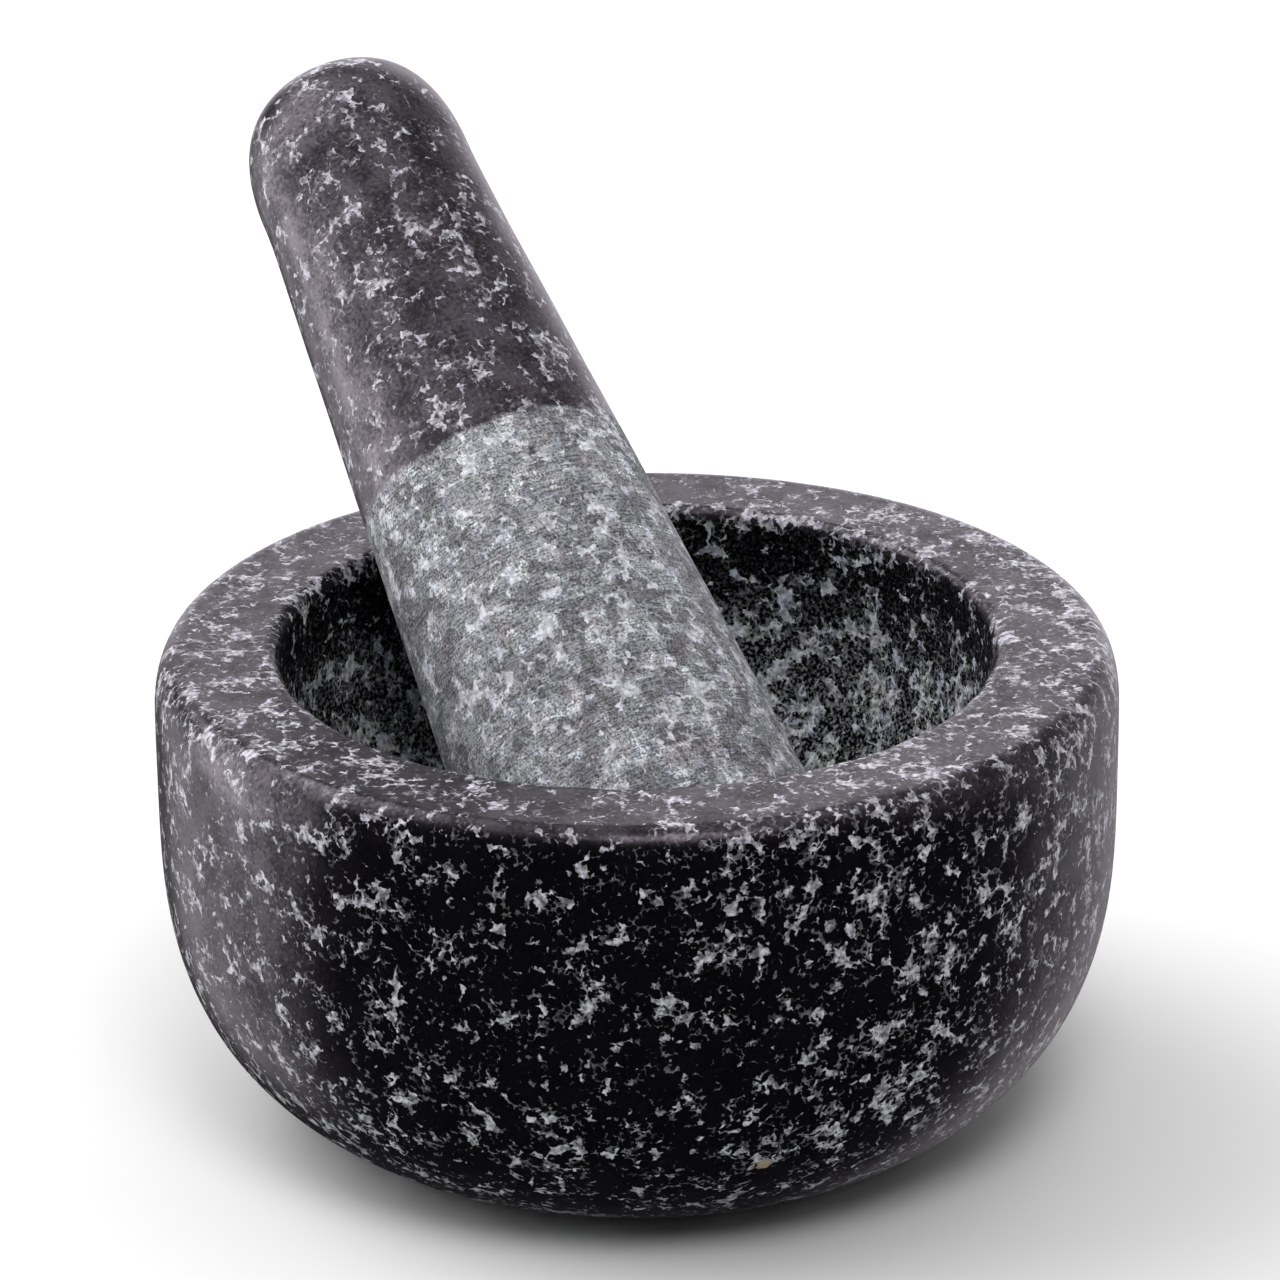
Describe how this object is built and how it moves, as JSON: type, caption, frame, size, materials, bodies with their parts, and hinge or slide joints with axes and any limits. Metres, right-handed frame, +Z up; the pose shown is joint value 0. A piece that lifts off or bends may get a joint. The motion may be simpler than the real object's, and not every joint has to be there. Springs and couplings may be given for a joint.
{
  "type": "mortar and pestle",
  "caption": "Round stone mortar with a hollow, a broad flat rim and a flat base, and a tapered round-ended pestle that leans in it and lifts out.",
  "frame": {"origin": "centre of the bowl's flat base, on the surface it stands on", "axes": "+Z up along the bowl's axis of revolution; +Y towards the back, where the pestle's grip leans, and a little to -X"},
  "size_m": [0.14, 0.1572, 0.1352],
  "materials": {
    "polished_granite": "satin",
    "honed_granite": "matte"
  },
  "bodies": {
    "mortar": {"mortar_bowl": "polished_granite"},
    "pestle": {"pestle": "honed_granite"}
  },
  "joints": [
    {"name": "pestle_lift", "type": "slide", "parent": "mortar", "child": "pestle", "axis": [0, 0, 1], "range_m": [0, 0.1]}
  ]
}
